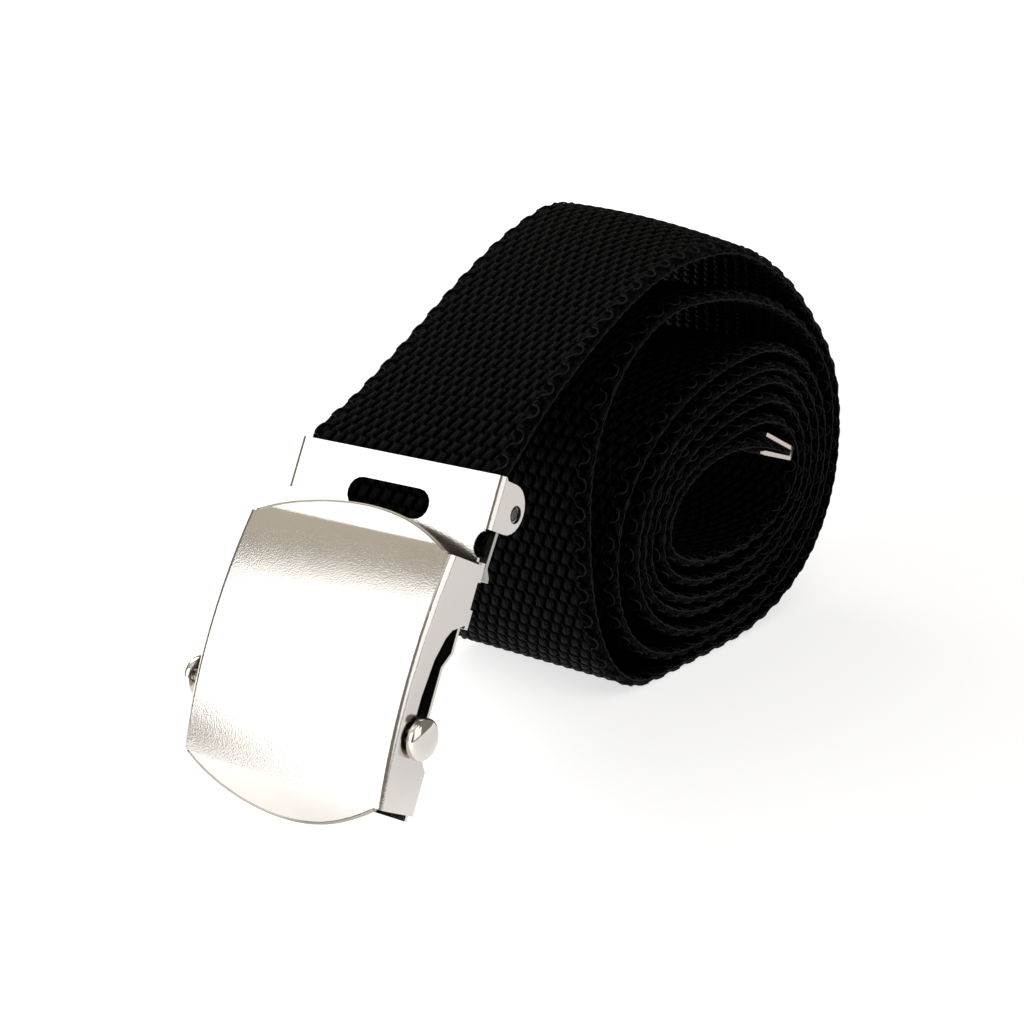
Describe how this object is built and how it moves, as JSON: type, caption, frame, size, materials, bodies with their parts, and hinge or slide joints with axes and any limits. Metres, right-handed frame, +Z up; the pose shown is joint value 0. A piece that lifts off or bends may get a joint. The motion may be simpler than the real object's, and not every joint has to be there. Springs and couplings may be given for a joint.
{
  "type": "rolled nylon web belt with slide buckle",
  "caption": "Nylon web belt rolled up, with a pressed nickel plated slide buckle, a clamp lever, a sliding lock bar and a folded metal tip.",
  "frame": {"origin": "on the ground, under the middle of the belt's own box", "axes": "+X across the webbing, +Y from the buckle back to the roll, +Z up"},
  "size_m": [0.0472, 0.1434, 0.078],
  "materials": {
    "black_nylon": "coarse basket weave",
    "nickel_plate": "satin nickel plate over pressed sheet steel",
    "plain_steel": "plain plated steel"
  },
  "bodies": {
    "belt": {"webbing": "black_nylon", "belt_tip": "nickel_plate", "buckle_cover": "nickel_plate", "frame_plate": "nickel_plate", "hinge_pin": "plain_steel"},
    "bar": {"lock_bar": "nickel_plate"},
    "lever": {"clamp_lever": "plain_steel"}
  },
  "joints": [
    {"name": "bar_slide", "type": "slide", "parent": "belt", "child": "bar", "axis": [0, 0.5325, 0.8464], "range_m": [0, 0.01]},
    {"name": "lever_hinge", "type": "hinge", "parent": "belt", "child": "lever", "pos_m": [0.00085, -0.03755, 0.04322], "axis": [1, 0, 0], "range_deg": [0, 100]}
  ]
}
